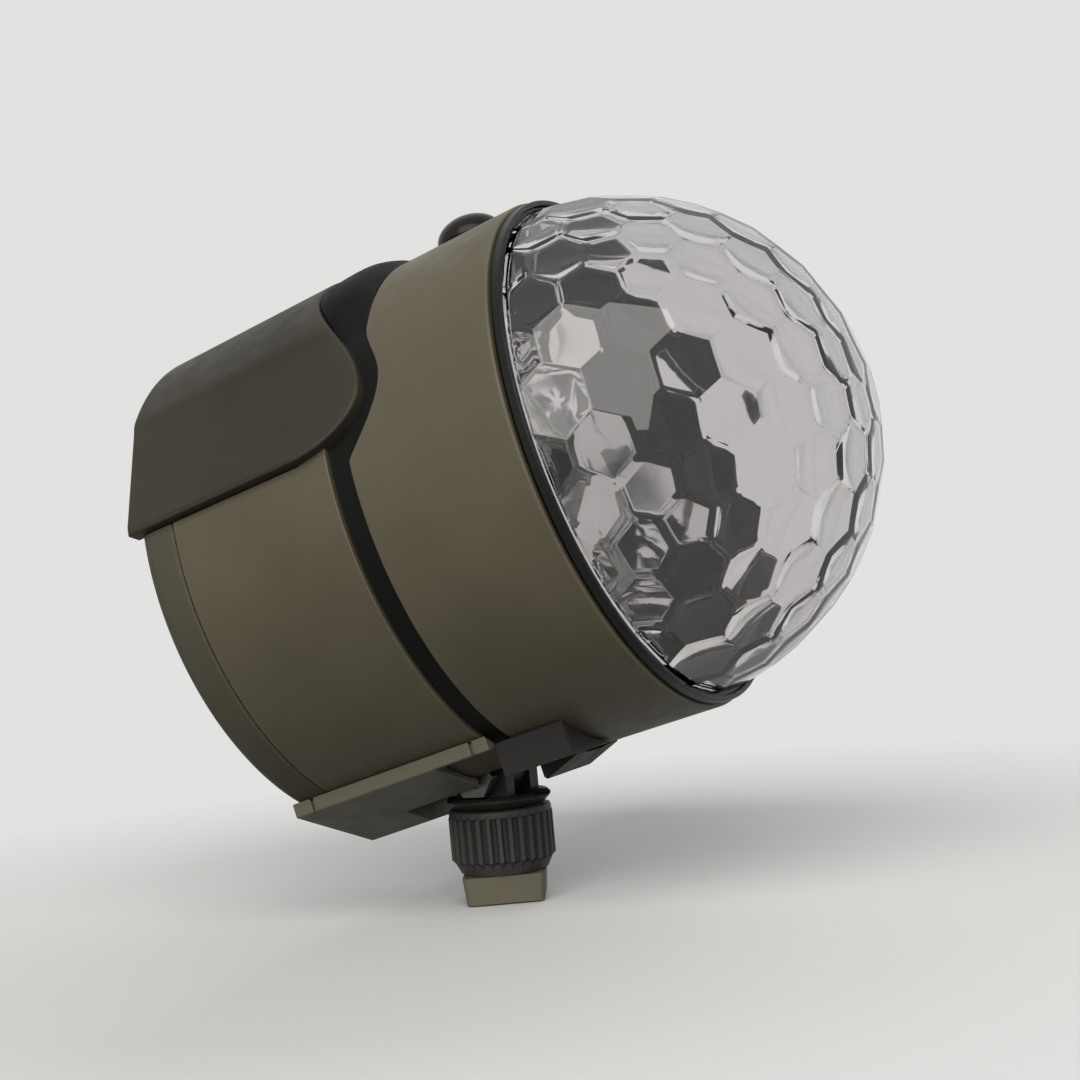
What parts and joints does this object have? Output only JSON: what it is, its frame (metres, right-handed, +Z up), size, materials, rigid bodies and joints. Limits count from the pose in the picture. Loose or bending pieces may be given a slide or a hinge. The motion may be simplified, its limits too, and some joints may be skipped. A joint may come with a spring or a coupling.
{
  "type": "led disco ball light",
  "caption": "Round outdoor projector lamp with a motor-turned faceted clear dome, raised top cover and a tilting, turning joint with a ribbed lock collar.",
  "frame": {"origin": "middle of the flat bottom face of the square socket block", "axes": "+Z up along the axis on which the stem turns, +X the way the lamp shines, pitched 15 degrees up at rest, +Y to its left"},
  "size_m": [0.127, 0.0938, 0.124],
  "materials": {
    "front_plastic": "semi-matte moulded",
    "rear_plastic": "semi-matte moulded",
    "cap_plastic": "semi-matte moulded",
    "cover_plastic": "semi-matte moulded",
    "seal_rubber": "matte",
    "keel_plastic": "semi-matte moulded",
    "pad_plastic": "matte moulded",
    "bracket_plastic": "matte moulded",
    "window_plastic": "dark translucent",
    "sensor_black": "gloss",
    "inlet_plastic": "matte",
    "inlet_nut_brass": "turned",
    "screw_steel": "plain",
    "inner_screw_steel": "plain",
    "joint_plastic": "matte moulded",
    "socket_plastic": "semi-matte moulded",
    "collar_plastic": "matte ribbed",
    "bolt_steel": "blackened",
    "nut_steel": "plain",
    "heat_plate_metal": "plain",
    "led_board_white": "white solder mask",
    "reflector_silver": "metallised, hammered",
    "led_1_colour": "gloss",
    "led_2_colour": "gloss",
    "led_3_colour": "gloss",
    "led_4_colour": "gloss",
    "lens_clear": "clear",
    "motor_steel": "plain",
    "driver_board_green": "solder mask",
    "dome_clear": "clear, faceted",
    "carrier_black": "matte",
    "shaft_steel": "ground",
    "hub_screw_steel": "plain"
  },
  "bodies": {
    "base": {"socket_base": "socket_plastic"},
    "collar": {"lock_collar": "collar_plastic"},
    "stem": {"swivel_stem": "joint_plastic", "tilt_bolt": "bolt_steel", "tilt_nut": "nut_steel"},
    "head": {"front_shell": "front_plastic", "rear_shell": "rear_plastic", "rear_cap": "cap_plastic", "top_cover": "cover_plastic", "seal_band": "seal_rubber", "bottom_cover": "keel_plastic", "cross_pad": "pad_plastic", "joint_bracket": "bracket_plastic", "receiver_window": "window_plastic", "signal_sensor": "sensor_black", "power_inlet": "inlet_plastic", "inlet_nut": "inlet_nut_brass", "rear_screw_1": "screw_steel", "rear_screw_2": "screw_steel", "rear_screw_3": "screw_steel", "rear_screw_4": "screw_steel", "pad_screw_1": "screw_steel", "pad_screw_2": "screw_steel", "bracket_screw_1": "screw_steel", "bracket_screw_2": "screw_steel", "heat_plate": "heat_plate_metal", "led_board": "led_board_white", "reflector": "reflector_silver", "led_1": "led_1_colour", "led_2": "led_2_colour", "led_3": "led_3_colour", "led_4": "led_4_colour", "led_lens_1": "lens_clear", "led_lens_2": "lens_clear", "led_lens_3": "lens_clear", "led_lens_4": "lens_clear", "gear_motor": "motor_steel", "motor_screw_1": "inner_screw_steel", "motor_screw_2": "inner_screw_steel", "control_board": "driver_board_green", "board_screw_1": "inner_screw_steel", "board_screw_2": "inner_screw_steel"},
    "dome": {"crystal_dome": "dome_clear", "dome_carrier": "carrier_black", "drive_shaft": "shaft_steel", "hub_screw": "hub_screw_steel"}
  },
  "joints": [
    {"name": "pan", "type": "hinge", "parent": "base", "child": "stem", "pos_m": [0, 0, 0], "axis": [0, 0, 1], "continuous": true},
    {"name": "collar_turn", "type": "hinge", "parent": "base", "child": "collar", "pos_m": [0, 0, 0], "axis": [0, 0, 1], "range_deg": [0, 120]},
    {"name": "tilt", "type": "hinge", "parent": "stem", "child": "head", "pos_m": [0, 0, 0.023], "axis": [0, -1, 0], "range_deg": [-38, 12]},
    {"name": "dome_spin", "type": "hinge", "parent": "head", "child": "dome", "pos_m": [0.03248, 0, 0.07793], "axis": [0.9659, 0, 0.2588], "continuous": true}
  ]
}
